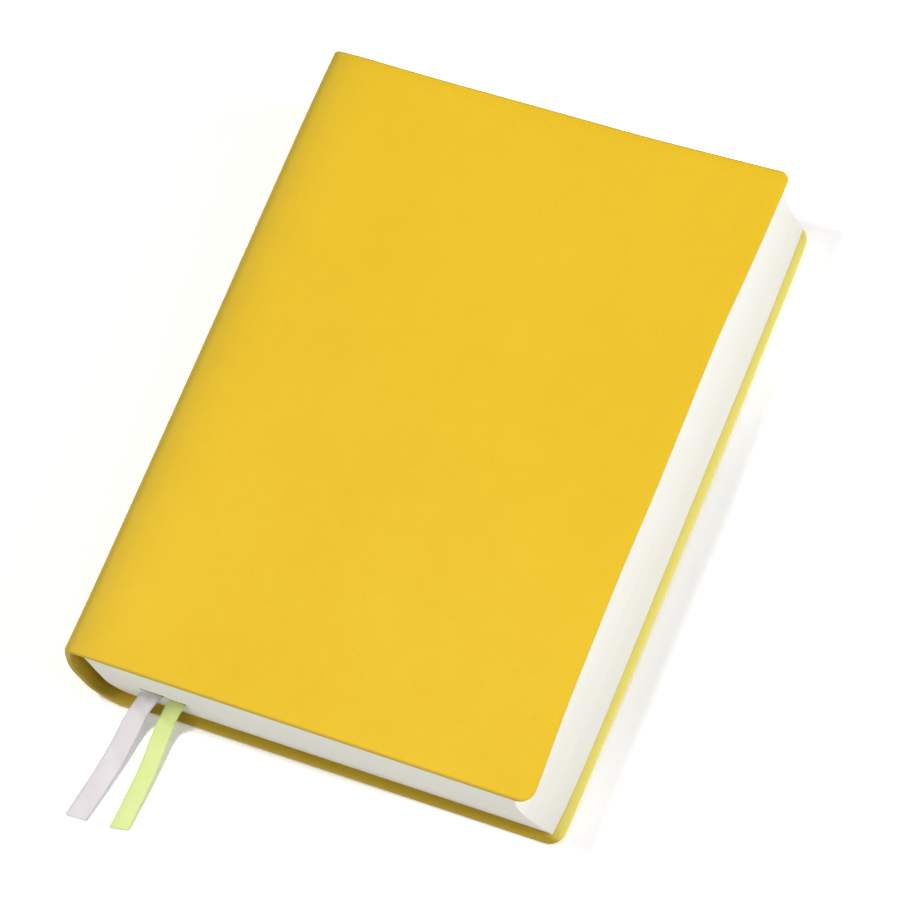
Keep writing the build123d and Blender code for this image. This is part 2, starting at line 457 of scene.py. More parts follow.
def frontCover():
    nearX = outline["top"].x
    piece = coverLeather("frontCoverLeather", nearX, frontHigh.x, bookTop, frontLow.z, frontCorners)
    carryRound(piece, outline["top"], pi / 2 - outline["topTurn"], frontHinge["cornerSteps"],
               lambda edge: all(abs(corner.co.x - nearX) < near for corner in edge.verts))
    carryRound(piece, outline["centre"], outline["topTurn"] - outline["splitTurn"], frontHinge["bowSteps"],
               lambda edge: atTurn(edge, outline["topTurn"]))
    cutAcross(piece, 0, frontHinge["rows"])
    finishSkin(piece, nearX, frontHigh.x, frontForeLine)
    paintRimShadeAndHighlight(piece, frontForeLine, False)
    relaxFrontSkin(piece)
    swellSpine(piece)
    smoothShading(piece)
    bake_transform(piece)
    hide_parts("front_leather", "spine_leather")
    return piece


def backCover():
    nearX = outline["foot"].x
    piece = coverLeather("backCoverLeather", nearX, backHigh.x, 0.0, backHigh.z, backCorners)
    carryRound(piece, outline["foot"], outline["footTurn"] - pi / 2, backHinge["footSteps"],
               lambda edge: all(abs(corner.co.x - nearX) < near for corner in edge.verts))
    carryRound(piece, outline["centre"], -outline["footTurn"] - outline["splitTurn"], backHinge["bowSteps"],
               lambda edge: atTurn(edge, -outline["footTurn"]))
    for reach in rimSlope["cuts"]:
        cutAcross(piece, 0, [backHigh.x - reach])
        cutAcross(piece, 1, [reach - halfHeight, halfHeight - reach])
    cutAcross(piece, 0, backHinge["rows"])
    finishSkin(piece, nearX, backHigh.x, backForeLine)
    paintRimShadeAndHighlight(piece, backForeLine, True)
    slopeRim(piece, backForeLine, backCorners)
    relaxBackSkin(piece)
    swellSpine(piece)
    smoothShading(piece)
    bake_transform(piece)
    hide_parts("back_leather", "spine_leather")
    return piece


frontLeather = frontCover()
backLeather = backCover()
print("both covers' leather is shaped and turned in")

# Card inside each cover, pressed thinner under the turned in leather
cardShape = {
    "inset": 0.0007,
    "skin": 0.00055,
    "thin": 0.0008,
    "windowInset": 0.0133,
    "step": 0.0004,
    "cornerSteps": 6,
    "cutAlong": 0.012,
    "cutAcross": 0.010,
    "frontNearX": -0.0738,
    "backNearX": -0.0700,
}


def coverCard(name, node, body, nearX, farX, outerZ, inward, corners, line):
    inset, steps = cardShape["inset"], cardShape["cornerSteps"]
    skinZ = outerZ + inward * cardShape["skin"]
    innerZ = skinZ + inward * cardShape["thin"]
    piece = addSlab(name, (nearX, inset - halfHeight, min(skinZ, innerZ)),
                    (farX - inset, halfHeight - inset, max(skinZ, innerZ)))
    roundUpright(piece, farX - inset, inset - halfHeight, corners["tail"] - inset, steps)
    roundUpright(piece, farX - inset, halfHeight - inset, corners["head"] - inset, steps)
    startEditing(piece, "FACE")
    pick("faces", lambda middle, face: abs(middle.z - innerZ) < near)
    bpy.ops.mesh.inset(thickness=cardShape["windowInset"])
    bpy.ops.mesh.extrude_region_move(TRANSFORM_OT_translate={"value": (0, 0, inward * cardShape["step"])})
    stopEditing()
    cutAcross(piece, 1, evenly(-halfHeight, halfHeight, cardShape["cutAlong"]))
    cutAcross(piece, 0, evenly(nearX, farX, cardShape["cutAcross"]))
    followForeLine(piece, nearX, farX - inset, line, inset)
    if inward < 0:
        for corner in piece.data.vertices:
            corner.co.y += frontShift(corner.co.x, corner.co.y)
    else:
        slopeRim(piece, line, corners)
    smoothShading(piece, 30)
    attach(piece, body)
    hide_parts(node)
    return piece


frontCard = coverCard("frontCard", "front_card", "front_cover", cardShape["frontNearX"], frontHigh.x,
                      bookTop, -1, frontCorners, frontForeLine)
backCard = coverCard("backCard", "back_card", "back_cover", cardShape["backNearX"], backHigh.x,
                     0.0, 1, backCorners, backForeLine)

# The thin card strip that stiffens the spine follows the bow just inside the leather
stripShape = {
    "low": 0.0068,
    "high": 0.0335,
    "thickness": 0.0006,
    "short": 0.0025,
    "skin": 0.00055,
    "cutUp": 0.0015,
    "cutAlong": 0.012,
}


def spineStrip():
    low, high = stripShape["low"], stripShape["high"]
    end = halfHeight - stripShape["short"]
    piece = addSlab("spineStrip", (0, -end, low), (stripShape["thickness"], end, high))
    cutAcross(piece, 2, evenly(low, high, stripShape["cutUp"]))
    cutAcross(piece, 1, evenly(-halfHeight, halfHeight, stripShape["cutAlong"]))
    centre, radius = outline["centre"], outline["radius"] - stripShape["skin"]
    for corner in piece.data.vertices:
        arm = radius - corner.co.x
        corner.co.x = centre.x - sqrt(arm**2 - (corner.co.z - centre.z) ** 2)
    swellSpine(piece)
    smoothShading(piece, 30)
    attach(piece, "leaves")
    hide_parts("spine_strip")
    return piece


stiffener = spineStrip()
print("cards and the spine's strip are in the leather")

# Block of leaves with its hollow fore edge, in thin bundles that don't quite line up
leafShape = {
    "depth": 0.152,
    "backCorner": 0.0040,
    "lowBackCorner": 0.0070,
    "cornerSteps": 10,
    "lean": 0.00197,
    "crown": 0.0005,
    "tailHollow": 0.0068,
    "headHollow": 0.0018,
    "steepness": 6,  # how closely hollow and crown keep to their edges
    "tailReach": 0.030,
    "cutAlong": 0.007,
    "cutAcross": 0.014,
    "firstCut": 0.008,
    "bundle": 0.0006,
    "raggedness": 0.000025,
    "slitDepth": 0.0055,
}
leafSlits = [
    {"x": -0.05545, "z": 0.0129, "width": 0.0089, "height": 0.0013},
    {"x": -0.0477, "z": 0.0117, "width": 0.0072, "height": 0.0010},
]
leafBackX = leavesHigh.x - leafShape["depth"]


# How far one bundle stands out among the others, which drifts slowly along its edge
def unevenBundle(number, seed, along):
    seed += 0.02 * sin(along * 25)
    return sin(number * 12.9898 + seed * 78.233) * 0.6 + sin(number * 4.137 + seed * 3.71) * 0.4


# Rounds the two long edges at the bound back
def roundBack(piece):
    startEditing(piece, "EDGE")
    for z, radius in ((leavesLow.z, leafShape["lowBackCorner"]), (leavesHigh.z, leafShape["backCorner"])):
        pick("edges", lambda middle, edge: abs(middle.x - leafBackX) < near and abs(middle.z - z) < near)
        bpy.ops.mesh.bevel(offset=radius, segments=leafShape["cornerSteps"], affect="EDGES")


# A straight block first, which then leans and bows out as the frame's does
def leafBlock():
    low, high = leavesLow, leavesHigh
    thickness = high.z - low.z
    piece = addSlab("leafBlock", (leafBackX, low.y, low.z), high)
    roundBack(piece)
    # Slits at the tail that the ribbons come out of
    bpy.ops.mesh.select_mode(type="FACE")
    for slit in leafSlits:
        middle, half = Vector((slit["x"], 0, slit["z"])), Vector((slit["width"], 0, slit["height"])) / 2
        for normal in (Vector((1, 0, 0)), Vector((0, 0, 1))):
            for spot in (middle - half, middle + half):
                pick("faces", lambda place, face: abs(place.y - low.y) < near)
                bpy.ops.mesh.bisect(plane_co=spot, plane_no=normal)
    stopEditing()
    cutAcross(piece, 2, evenly(low.z, high.z, leafShape["bundle"]))
    cutAcross(piece, 1, evenly(low.y, high.y, leafShape["cutAlong"]))
    cutAcross(piece, 0, evenly(leafBackX + leafShape["firstCut"], high.x, leafShape["cutAcross"]))
    startEditing(piece, "FACE")
    for slit in leafSlits:
        pick("faces", lambda middle, face: abs(middle.y - low.y) < near
             and abs(middle.x - slit["x"]) < slit["width"] / 2
             and abs(middle.z - slit["z"]) < slit["height"] / 2)
        bpy.ops.mesh.extrude_region_move(TRANSFORM_OT_translate={"value": (0, leafShape["slitDepth"], 0)})
    stopEditing()
    for corner in piece.data.vertices:
        x, y, z = corner.co
        rise = (z - low.z) / thickness
        bow = 1 - (2 * rise - 1) ** 2
        share = (y - low.y) / (high.y - low.y)
        fore = (x - leafBackX) / (high.x - leafBackX)
        hollow = leafShape["tailHollow"] * (1 - share) + leafShape["headHollow"] * share
        number = round(rise * thickness / leafShape["bundle"])
        ragged = leafShape["raggedness"] if 0.01 < rise < 0.99 else 0
        corner.co.x -= leafShape["lean"] * rise
        if fore > 0.5:
            strength = ((fore - 0.5) * 2) ** leafShape["steepness"]
            corner.co.x += (through(leafForeLine, y) - high.x - hollow * bow) * strength
            corner.co.x += ragged * unevenBundle(number, 1, y) * strength
        else:
            corner.co.x -= leafShape["crown"] * bow * ((0.5 - fore) * 2) ** leafShape["steepness"]
        corner.co.y += through(leafTailLine, x) * (1 - eased(y, low.y, low.y + leafShape["tailReach"]))
        if abs(y - low.y) < near or abs(y - high.y) < near:
            corner.co.y += ragged * unevenBundle(number, 5, x)
    smoothShading(piece, 35)
    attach(piece, "leaves")
    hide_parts("page_block")
    return piece


leaves = leafBlock()

# Brown paper glued over the bound back, from one rounded edge round to the other
liningShape = {
    "short": 0.0006,
    "width": 0.012,
    "facing": 0.55,
    "thickness": 0.0006,
    "cutUp": 0.0020,
    "cutAlong": 0.020,
}


def spineLining():
    low, high, short = leavesLow, leavesHigh, liningShape["short"]
    piece = addSlab("spineLining", (leafBackX, low.y + short, low.z),
                    (leafBackX + liningShape["width"], high.y - short, high.z))
    roundBack(piece)
    pick("faces", lambda middle, face: abs(face.normal.y) > 0.5 or face.normal.x > -liningShape["facing"])
    bpy.ops.mesh.delete(type="FACE")
    stopEditing()
    cutAcross(piece, 2, evenly(low.z, high.z, liningShape["cutUp"]))
    cutAcross(piece, 1, evenly(low.y, high.y, liningShape["cutAlong"]))
    for corner in piece.data.vertices:
        rise = (corner.co.z - low.z) / (high.z - low.z)
        bow = 1 - (2 * rise - 1) ** 2
        fore = (corner.co.x - leafBackX) / leafShape["depth"]
        corner.co.x -= (leafShape["lean"] * rise
                        + leafShape["crown"] * bow * ((0.5 - fore) * 2) ** leafShape["steepness"])
    useModifier(piece, "SOLIDIFY", thickness=liningShape["thickness"], offset=1)
    smoothShading(piece)
    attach(piece, "leaves")
    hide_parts("spine_lining")
    return piece


lining = spineLining()
print("the block of leaves has its hollow fore edge and its lined back")

# Endpapers: one half pasted down inside the cover, folded at the hinge, the other half on the leaves
endpaperShape = {
    "thickness": 0.00003,
    "lift": 0.00002,
    "inset": 0.0004,
    "foldSteps": 32,
    "cut": 0.010,
    "frontFoldX": -0.0735,
    "backFoldX": -0.0690,
    "frontShort": 0.0021,
}


def foldedEndpaper(name, node, leafZ, coverZ, foldX, leafFarX, coverFarX):
    thickness, inset = endpaperShape["thickness"], endpaperShape["inset"]
    inward = 1 if coverZ > leafZ else -1
    lowY, highY = leavesLow.y + inset, leavesHigh.y - inset
    bpy.ops.mesh.primitive_plane_add(size=1, location=((foldX + leafFarX - inset) / 2,
                                                       (lowY + highY) / 2, leafZ))
    piece = bpy.context.object
    piece.name = name
    piece.scale = (leafFarX - inset - foldX, highY - lowY, 1)
    bpy.ops.object.transform_apply(location=True, rotation=True, scale=True)
    startEditing(piece, "EDGE")
    pick("edges", lambda middle, edge: abs(middle.x - foldX) < near)
    bpy.ops.mesh.spin(steps=endpaperShape["foldSteps"], angle=-inward * pi, axis=(0, 1, 0),
                      center=(foldX, 0, (leafZ + coverZ) / 2))
    pick("edges", lambda middle, edge: edge.is_boundary and abs(middle.x - foldX) < near
         and abs(middle.z - coverZ) < near)
    bpy.ops.mesh.extrude_region_move(TRANSFORM_OT_translate={"value": (coverFarX - inset - foldX, 0, 0)})
    stopEditing()
    cutAcross(piece, 1, evenly(lowY, highY, endpaperShape["cut"]))
    for corner in piece.data.vertices:
        if corner.co.x > 0:
            corner.co.x += through(leafForeLine, corner.co.y) - leavesHigh.x
    useModifier(piece, "SOLIDIFY", thickness=thickness, offset=0)
    smoothShading(piece)
    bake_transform(piece)
    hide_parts(node)
    return piece


frontEndpaper = foldedEndpaper("frontEndpaper", "front_endpaper",
                               leavesHigh.z + endpaperShape["lift"], frontLow.z - endpaperShape["lift"],
                               endpaperShape["frontFoldX"], leavesHigh.x - leafShape["lean"],
                               leavesHigh.x - endpaperShape["frontShort"])
backEndpaper = foldedEndpaper("backEndpaper", "back_endpaper",
                              leavesLow.z - endpaperShape["lift"], backHigh.z + endpaperShape["lift"],
                              endpaperShape["backFoldX"], leavesHigh.x, leavesHigh.x)
print("endpapers are folded at the hinges and pasted down")

# Ribbon markers, from the tail of the leaves down to the table
ribbonShape = {
    "thickness": 0.0003,
    "inside": 0.004,
    "insideRows": (1, 0.66, 0.33),
    "curveSteps": 16,
    "acrossSteps": 8,
    "window": 26,  # steps to either side that the way across is read from
    "cup": 0.00025,
}
lilacMarker = {
    "route": [(-0.0563, -0.1039, 0.0124), (-0.0578, -0.1063, 0.0110), (-0.0592, -0.1075, 0.0085),
              (-0.0611, -0.1094, 0.0050), (-0.0623, -0.1126, 0.0032), (-0.0630, -0.1180, 0.0022),
              (-0.0638, -0.1249, 0.0015), (-0.0657, -0.1351, 0.0008), (-0.0681, -0.1464, 0.0004)],
    "width": 0.0070,
    "length": 0.0488,
    "slant": 0.0017,
}
greenMarker = {
    "route": [(-0.0479, -0.1039, 0.0114), (-0.0489, -0.1062, 0.0100), (-0.0500, -0.1075, 0.0078),
              (-0.0513, -0.1094, 0.0046), (-0.0520, -0.1125, 0.0030), (-0.0521, -0.1177, 0.0021),
              (-0.0520, -0.1244, 0.0014), (-0.0525, -0.1345, 0.0008), (-0.0534, -0.1454, 0.0004)],
    "width": 0.0060,
    "length": 0.0460,
    "slant": 0.0016,
}


# Points along the smooth line that the route's own points steer
def smoothLine(name, route):
    curve = bpy.data.curves.new(name, "CURVE")
    curve.dimensions = "3D"
    spline = curve.splines.new("NURBS")
    spline.points.add(len(route) - 1)
    for point, place in zip(spline.points, route):
        point.co = (*place, 1)
    spline.order_u = 3
    spline.use_endpoint_u = True
    spline.resolution_u = ribbonShape["curveSteps"]
    holder = bpy.data.objects.new(name, curve)
    scene.collection.objects.link(holder)
    bpy.context.view_layer.update()
    sampled = bpy.data.meshes.new_from_object(holder)
    points = [corner.co.copy() for corner in sampled.vertices]
    bpy.data.objects.remove(holder)
    bpy.data.curves.remove(curve)
    bpy.data.meshes.remove(sampled)
    return points


def ribbonMarker(name, node, marker):
    line = smoothLine(name + "Line", marker["route"])
    outward = Vector((line[1].x - line[0].x, line[1].y - line[0].y, 0)).normalized()
    path = [line[0] - outward * ribbonShape["inside"] * share for share in ribbonShape["insideRows"]] + line
    steps, wide = ribbonShape["acrossSteps"], ribbonShape["window"]
    mesh = bmesh.new()
    uvLayer = mesh.loops.layers.uv.new("weave")
    rows, place, run = [], {}, 0.0
    for i, point in enumerate(path):
        before, after = path[max(i - 1, 0)], path[min(i + 1, len(path) - 1)]
        heading = (after - before).normalized()
        course = path[min(i + wide, len(path) - 1)] - path[max(i - wide, 0)]
        across = Vector((course.y, -course.x, 0)).normalized()
        up = across.cross(heading)
        if i:
            run += (point - path[i - 1]).length
        row = []
        for j in range(steps + 1):
            side = j / steps - 0.5
            slant = marker["slant"] * side if i == len(path) - 1 else 0
            cup = ribbonShape["cup"] * (1 - 4 * side * side)
            spot = point + across * side * marker["width"] + up * cup + heading * slant
            corner = mesh.verts.new(spot)
            place[corner] = (side * marker["width"] * millimetres, (run + slant) * millimetres)
            row.append(corner)
        rows.append(row)
    for low, high in zip(rows, rows[1:]):
        for a, b, c, d in zip(low, low[1:], high[1:], high):
            face = mesh.faces.new((a, b, c, d))
            for loop in face.loops:
                loop[uvLayer].uv = place[loop.vert]
    mesh.normal_update()
    if rows[len(rows) // 2][0].link_faces[0].normal.z < 0:
        bmesh.ops.reverse_faces(mesh, faces=mesh.faces)
    data = bpy.data.meshes.new(name)
    mesh.to_mesh(data)
    mesh.free()
    piece = bpy.data.objects.new(name, data)
    scene.collection.objects.link(piece)
    useModifier(piece, "SOLIDIFY", thickness=ribbonShape["thickness"], offset=0)
    smoothShading(piece)
    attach(piece, "leaves")
    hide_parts(node)
    return piece


lilacRibbon = ribbonMarker("lilacRibbon", "ribbon_lilac", lilacMarker)
greenRibbon = ribbonMarker("greenRibbon", "ribbon_green", greenMarker)
print("two ribbon markers hang out at the tail")


def socket(tree, name, direction, kind, value=None):
    made = tree.interface.new_socket(name=name, in_out=direction, socket_type="NodeSocket" + kind)
    if value is not None:
        made.default_value = value


def feed(tree, target, source):
    if isinstance(source, bpy.types.NodeSocket):
        tree.links.new(source, target)
    else:
        target.default_value = source


# Adds a node with its settings, and with a value or another node's output for each input named
def addNode(tree, kind, inputs=None, **settings):
    node = tree.nodes.new("ShaderNode" + kind)
    for name, value in settings.items():
        setattr(node, name, value)
    for name, source in (inputs or {}).items():
        feed(tree, node.inputs[name], source)
    return node


def calculate(tree, operation, a, b=0.0, clamp=False):
    return addNode(tree, "Math", {0: a, 1: b}, operation=operation, use_clamp=clamp).outputs[0]


# Sum of some values, each times its weight
def weighed(tree, *parts):
    products = [calculate(tree, "MULTIPLY", value, weight) for value, weight in parts]
    total = products[0]
    for product in products[1:]:
        total = calculate(tree, "ADD", total, product)
    return total


def ranged(tree, value, source, target=(0.0, 1.0), kind="LINEAR"):
    limits = {"From Min": source[0], "From Max": source[1], "To Min": target[0], "To Max": target[1]}
    return addNode(tree, "MapRange", {"Value": value, **limits}, interpolation_type=kind).outputs["Result"]


def mixColours(tree, share, a, b):
    return addNode(tree, "Mix", {0: share, 6: a, 7: b}, data_type="RGBA").outputs[2]


def stretched(tree, vector, scale):
    return addNode(tree, "Mapping", {"Vector": vector, "Scale": scale}).outputs["Vector"]


def noise(tree, vector, scale, detail=2.0, roughness=0.5):
    inputs = {"Vector": vector, "Scale": scale, "Detail": detail, "Roughness": roughness}
    return addNode(tree, "TexNoise", inputs).outputs["Fac"]


# A colour as a screen shows it, turned into the amounts of light that Blender counts in
def linear(r, g, b):
    def one(value):
        value /= 255
        return value / 12.92 if value <= 0.04045 else ((value + 0.055) / 1.055) ** 2.4
    return (one(r), one(g), one(b), 1.0)


def newGroup(name):
    tree = bpy.data.node_groups.new(name, "ShaderNodeTree")
    return tree, tree.nodes.new("NodeGroupInput"), tree.nodes.new("NodeGroupOutput")


# Fine pebbled grain of soft coated leather, with the little creases between its cells
def buildLeatherGrain():
    tree, start, end = newGroup("leatherGrain")
    socket(tree, "Vector", "INPUT", "Vector")
    socket(tree, "Cells", "INPUT", "Float", 1500.0)
    socket(tree, "Height", "OUTPUT", "Float")
    socket(tree, "Crease", "OUTPUT", "Float")
    vector = start.outputs["Vector"]
    shift = addNode(tree, "TexNoise", {"Vector": vector, "Scale": 900})
    bent = addNode(tree, "MixRGB", {"Fac": 0.0004, "Color1": vector, "Color2": shift.outputs["Color"]},
                   blend_type="ADD")
    cells = addNode(tree, "TexVoronoi", {"Vector": bent.outputs["Color"], "Scale": start.outputs["Cells"],
                                         "Smoothness": 0.35}, feature="SMOOTH_F1")
    fine = noise(tree, vector, 5200, 3.0, 0.6)
    broad = noise(tree, vector, 420, 2.0, 0.5)
    dome = calculate(tree, "SUBTRACT", 1.0, cells.outputs["Distance"])
    feed(tree, end.inputs["Height"], weighed(tree, (dome, 0.6), (fine, 0.15), (broad, 0.5)))
    feed(tree, end.inputs["Crease"], ranged(tree, cells.outputs["Distance"], (0.45, 0.85)))
    return tree


# Broad and middling patches in which a colour comes out a little lighter or darker
def buildMottle():
    tree, start, end = newGroup("mottle")
    socket(tree, "Vector", "INPUT", "Vector")
    socket(tree, "Light", "INPUT", "Color", (1, 1, 1, 1))
    socket(tree, "Dark", "INPUT", "Color", (0.9, 0.9, 0.9, 1))
    socket(tree, "Broad", "INPUT", "Float", 18.0)
    socket(tree, "Color", "OUTPUT", "Color")
    socket(tree, "Mask", "OUTPUT", "Float")
    vector = start.outputs["Vector"]
    wide = noise(tree, vector, start.outputs["Broad"], 3.0)
    small = noise(tree, vector, 150, 4.0, 0.55)
    mask = ranged(tree, weighed(tree, (wide, 0.7), (small, 0.3)), (0.35, 0.65))
    feed(tree, end.inputs["Mask"], mask)
    feed(tree, end.inputs["Color"], mixColours(tree, mask, start.outputs["Dark"], start.outputs["Light"]))
    return tree


# Edges of the leaves: fine streaks that run along each leaf, with painted shade in the gaps between them
def buildLeafEdges():
    tree, start, end = newGroup("leafEdges")
    socket(tree, "Vector", "INPUT", "Vector")
    socket(tree, "Leaf", "INPUT", "Color", (1, 1, 1, 1))
    socket(tree, "Gap", "INPUT", "Color", (0.7, 0.7, 0.7, 1))
    socket(tree, "Color", "OUTPUT", "Color")
    socket(tree, "Height", "OUTPUT", "Float")
    vector = start.outputs["Vector"]
    sheets = noise(tree, stretched(tree, vector, (14, 14, 6500)), 1.0, 1.0, 0.5)
    bundles = noise(tree, stretched(tree, vector, (9, 9, 700)), 1.0, 2.0, 0.5)
    rough = noise(tree, vector, 1400, 2.0, 0.6)
    both = weighed(tree, (sheets, 0.6), (bundles, 0.4))
    shade = ranged(tree, both, (0.30, 0.60))
    feed(tree, end.inputs["Color"], mixColours(tree, shade, start.outputs["Gap"], start.outputs["Leaf"]))
    feed(tree, end.inputs["Height"], calculate(tree, "ADD", both, calculate(tree, "MULTIPLY", rough, 0.15)))
    return tree


# Plain woven threads from a pair of coordinates counted in millimetres
def buildWeave():
    tree, start, end = newGroup("plainWeave")
    socket(tree, "Vector", "INPUT", "Vector")
    socket(tree, "Across", "INPUT", "Float", 6.0)
    socket(tree, "Along", "INPUT", "Float", 3.0)
    socket(tree, "Height", "OUTPUT", "Float")
    parts = addNode(tree, "SeparateXYZ", {0: start.outputs["Vector"]})
    wobble = noise(tree, start.outputs["Vector"], 0.9, 2.0)
    u = weighed(tree, (parts.outputs["X"], start.outputs["Across"]), (wobble, 0.35))
    v = weighed(tree, (parts.outputs["Y"], start.outputs["Along"]), (wobble, 0.35))
    warp = calculate(tree, "ABSOLUTE", calculate(tree, "SINE", calculate(tree, "MULTIPLY", u, pi)))
    weft = calculate(tree, "ABSOLUTE", calculate(tree, "SINE", calculate(tree, "MULTIPLY", v, pi)))
    turn = calculate(tree, "MODULO", calculate(tree, "ADD", calculate(tree, "FLOOR", u),
                                               calculate(tree, "FLOOR", v)), 2.0)
    over = calculate(tree, "ABSOLUTE", turn)
    height = addNode(tree, "Mix", {0: over, 2: warp, 3: weft}, data_type="FLOAT")
    feed(tree, end.inputs["Height"], height.outputs[0])
    return tree


leatherGrain = buildLeatherGrain()
mottle = buildMottle()
leafEdges = buildLeafEdges()
plainWeave = buildWeave()


def newMaterial(name, roughness, specular):
    material = bpy.data.materials.new(name)
    material.use_nodes = True
    tree = material.node_tree
    shader = tree.nodes["Principled BSDF"]
    shader.inputs["Roughness"].default_value = roughness
    shader.inputs["Specular IOR Level"].default_value = specular
    return material, tree, shader


def placeGroup(tree, group, **values):
    return addNode(tree, "Group", values, node_tree=group)


def roughen(tree, shader, height, depth):
    bump = addNode(tree, "Bump", {"Distance": depth, "Strength": 1.0, "Height": height})
    feed(tree, shader.inputs["Normal"], bump.outputs["Normal"])


def objectSpace(tree):
    return addNode(tree, "TexCoord").outputs["Object"]


leatherFinish = {
    "light": linear(246, 203, 36),
    "dark": linear(242, 198, 34),
    "crease": linear(220, 174, 22),
    "burnish": linear(158, 142, 60),
    "worn": linear(255, 243, 128),
    "creaseShare": 0.12,
    "burnishShare": 0.62,
    "wornShare": 0.95,
    "roughness": 0.58,
    "roughnessLift": 0.03,
    "patchGloss": -0.06,
    "specular": 0.20,
    "grainDepth": 0.00003,
}


def makeLeather():
    finish = leatherFinish
    material, tree, shader = newMaterial("yellowLeather", finish["roughness"], finish["specular"])
    vector = objectSpace(tree)
    patches = placeGroup(tree, mottle, Vector=vector, Light=finish["light"], Dark=finish["dark"])
    grain = placeGroup(tree, leatherGrain, Vector=vector)
    creased = calculate(tree, "MULTIPLY", grain.outputs["Crease"], finish["creaseShare"])
    colour = mixColours(tree, creased, patches.outputs["Color"], finish["crease"])
    # Painted shade and a painted highlight, mixed in where the rims are marked
    for name in ("burnish", "worn"):
        mark = addNode(tree, "Attribute", attribute_name=name)
        share = calculate(tree, "MULTIPLY", mark.outputs["Fac"], finish[name + "Share"])
        colour = mixColours(tree, share, colour, finish[name])
    feed(tree, shader.inputs["Base Color"], colour)
    glossier = calculate(tree, "MULTIPLY", patches.outputs["Mask"], finish["patchGloss"])
    feed(tree, shader.inputs["Roughness"],
         calculate(tree, "ADD", glossier, finish["roughness"] + finish["roughnessLift"]))
    roughen(tree, shader, grain.outputs["Height"], finish["grainDepth"])
    return material


leafFinish = {
    "leaf": linear(247, 246, 238),
    "gap": linear(243, 241, 232),
    "roughness": 0.85,
    "specular": 0.25,
    "depth": 0.00005,
}


def makeLeaves():
    finish = leafFinish
    material, tree, shader = newMaterial("leafPaper", finish["roughness"], finish["specular"])
    edges = placeGroup(tree, leafEdges, Vector=objectSpace(tree), Leaf=finish["leaf"], Gap=finish["gap"])
    feed(tree, shader.inputs["Base Color"], edges.outputs["Color"])
    roughen(tree, shader, edges.outputs["Height"], finish["depth"])
    return material


# Papers and boards that are alike but for their colours and how coarse they are
sheetFinishes = {
    "endpaper": {"light": linear(246, 243, 234), "dark": linear(244, 240, 230), "patches": 45.0,
                 "roughness": 0.8, "specular": 0.25, "fibres": (2600, 4.0, 0.65), "depth": 0.00002},
    "greyboard": {"light": linear(171, 155, 128), "dark": linear(160, 144, 118), "patches": 240.0,
                  "roughness": 0.9, "specular": 0.2, "fibres": (1500, 5.0, 0.7), "depth": 0.00006},
    "brownPaper": {"light": linear(112, 74, 40), "dark": linear(92, 58, 30), "patches": 300.0,
                   "roughness": 0.85, "specular": 0.2, "fibres": (1800, 5.0, 0.7), "depth": 0.00004},
}


def makeSheet(name):
    finish = sheetFinishes[name]
    material, tree, shader = newMaterial(name, finish["roughness"], finish["specular"])
    vector = objectSpace(tree)
    patches = placeGroup(tree, mottle, Vector=vector, Light=finish["light"], Dark=finish["dark"],
                         Broad=finish["patches"])
    feed(tree, shader.inputs["Base Color"], patches.outputs["Color"])
    roughen(tree, shader, noise(tree, vector, *finish["fibres"]), finish["depth"])
    return material


ribbonFinish = {
    "lilac": {"light": linear(249, 245, 249), "dark": linear(236, 229, 235), "edge": linear(196, 184, 194)},
    "green": {"light": linear(243, 254, 175), "dark": linear(227, 251, 139), "edge": linear(200, 232, 118)},
    "roughness": 0.42,
    "specular": 0.8,
    "sheen": 0.25,
    "sheenRoughness": 0.4,
    "patches": 90.0,
    "edgeWidth": 0.55,  # in millimetres
    "edgeShare": 0.6,
    "threadsAcross": 3.2,
    "threadsAlong": 2.4,
    "depth": 0.00006,
}


def makeRibbon(name, colours, width):
    finish, light, dark = ribbonFinish, colours["light"], colours["dark"]
    material, tree, shader = newMaterial(name, finish["roughness"], finish["specular"])
    shader.inputs["Sheen Weight"].default_value = finish["sheen"]
    shader.inputs["Sheen Roughness"].default_value = finish["sheenRoughness"]
    place = addNode(tree, "UVMap", uv_map="weave")
    weave = placeGroup(tree, plainWeave, Vector=place.outputs["UV"], Across=finish["threadsAcross"],
                       Along=finish["threadsAlong"])
    patches = placeGroup(tree, mottle, Vector=objectSpace(tree), Light=light, Dark=dark,
                         Broad=finish["patches"])
    # Painted shade: the cloth is darker where the weave's threads dip
    shade = calculate(tree, "ADD", calculate(tree, "MULTIPLY", weave.outputs["Height"], 0.7), 0.3)
    cloth = mixColours(tree, shade, dark, patches.outputs["Color"])
    parts = addNode(tree, "SeparateXYZ", {0: place.outputs["UV"]})
    half = width * millimetres / 2
    edge = ranged(tree, calculate(tree, "ABSOLUTE", parts.outputs["X"]),
                  (half - finish["edgeWidth"], half - finish["edgeWidth"] / 3),
                  (0.0, finish["edgeShare"]), "SMOOTHSTEP")
    feed(tree, shader.inputs["Base Color"], mixColours(tree, edge, cloth, colours["edge"]))
    roughen(tree, shader, weave.outputs["Height"], finish["depth"])
    return material


lilacSatin = makeRibbon("lilacSatin", ribbonFinish["lilac"], lilacMarker["width"])
greenSatin = makeRibbon("greenSatin", ribbonFinish["green"], greenMarker["width"])

# Each material with the pieces and the frame's nodes that wear it
wardrobe = (
    (makeLeather(), (frontLeather, backLeather), ("front_leather", "back_leather", "spine_leather")),
    (makeLeaves(), (leaves,), ("page_block",)),
    (makeSheet("endpaper"), (frontEndpaper, backEndpaper), ("front_endpaper", "back_endpaper")),
    (makeSheet("greyboard"), (frontCard, backCard, stiffener), ("front_card", "back_card", "spine_strip")),
    (makeSheet("brownPaper"), (lining,), ("spine_lining",)),
    (lilacSatin, (lilacRibbon,), ("ribbon_lilac",)),
    (greenSatin, (greenRibbon,), ("ribbon_green",)),
)


